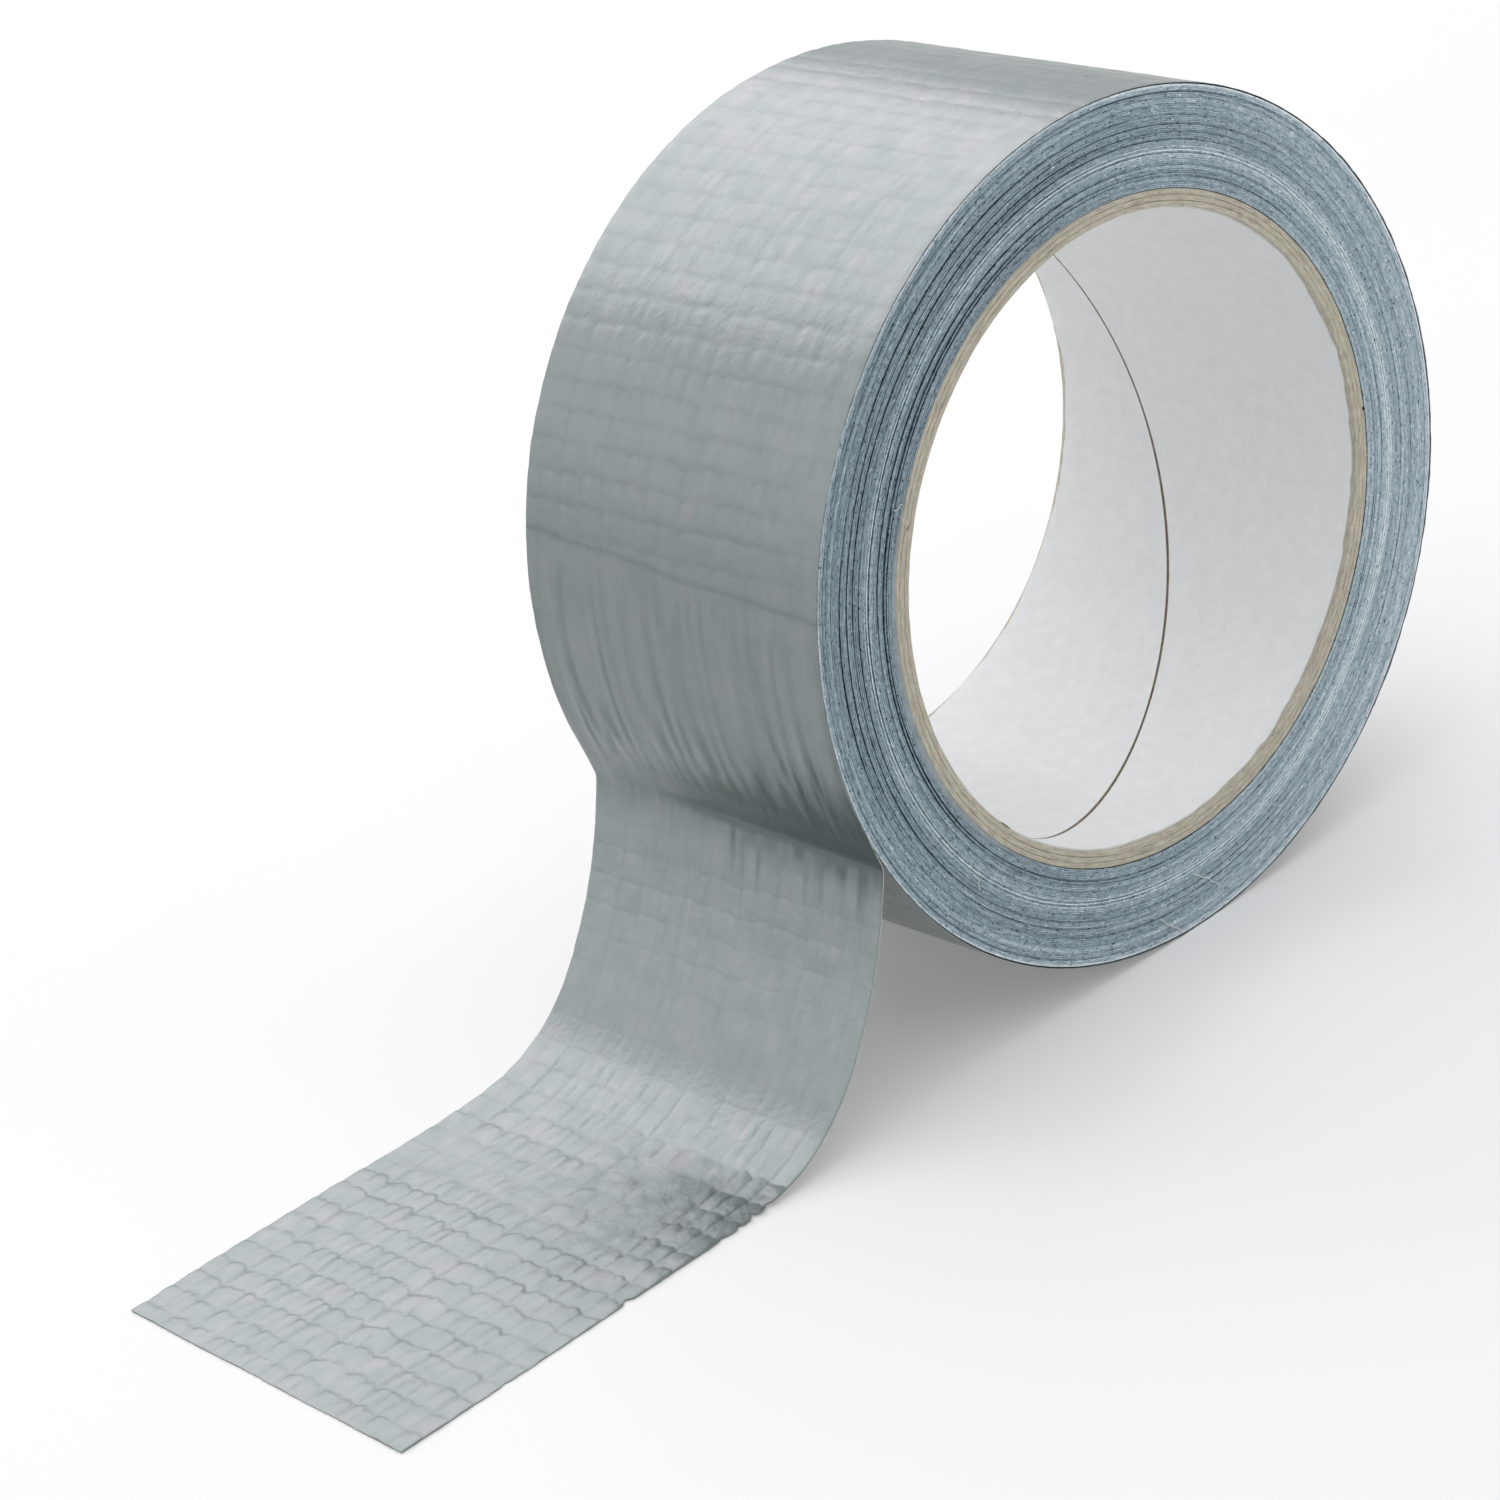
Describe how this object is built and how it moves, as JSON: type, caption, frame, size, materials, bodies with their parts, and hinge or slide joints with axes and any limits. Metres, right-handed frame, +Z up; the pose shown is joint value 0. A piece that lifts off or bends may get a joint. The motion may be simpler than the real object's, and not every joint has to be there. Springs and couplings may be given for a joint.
{
  "type": "duct tape roll",
  "caption": "Roll of silver cloth duct tape on a paperboard core, standing on edge with its free end drawn off and laid flat.",
  "frame": {"origin": "middle of the footprint, on the surface that the roll stands on and the free end lies on", "axes": "+X from the free end's cut edge towards the roll; +Y along the roll's axis, from the face in view to the far face; +Z up"},
  "size_m": [0.1816, 0.05, 0.1053],
  "materials": {
    "silver_film": "satin",
    "cotton_scrim": "matte",
    "rubber_adhesive": "satin",
    "wound_tape": "matte",
    "grey_board": "matte",
    "white_paper": "matte"
  },
  "bodies": {
    "roll": {"core_liner": "white_paper", "core_board_ply_1": "grey_board", "core_board_ply_2": "grey_board", "core_board_ply_3": "grey_board", "wound_turns": "wound_tape", "outer_turn_film": "silver_film", "outer_turn_scrim": "cotton_scrim", "outer_turn_adhesive": "rubber_adhesive"},
    "peel_strip": {"peel_strip_film": "silver_film", "peel_strip_scrim": "cotton_scrim", "peel_strip_adhesive": "rubber_adhesive"},
    "hanging_strip": {"hanging_strip_film": "silver_film", "hanging_strip_scrim": "cotton_scrim", "hanging_strip_adhesive": "rubber_adhesive"},
    "flat_strip": {"flat_strip_film": "silver_film", "flat_strip_scrim": "cotton_scrim", "flat_strip_adhesive": "rubber_adhesive"}
  },
  "joints": [
    {"name": "roll_unwind", "type": "hinge", "parent": "roll", "child": "peel_strip", "pos_m": [0.03816, 0, 0.05267], "axis": [0, 1, 0], "continuous": true},
    {"name": "peel_bend", "type": "hinge", "parent": "peel_strip", "child": "hanging_strip", "pos_m": [-0.01149, 0, 0.02774], "axis": [0, 1, 0], "range_deg": [-30, 60]},
    {"name": "foot_bend", "type": "hinge", "parent": "hanging_strip", "child": "flat_strip", "pos_m": [-0.02822, 0, 0.00271], "axis": [0, 1, 0], "range_deg": [-60, 60]}
  ]
}
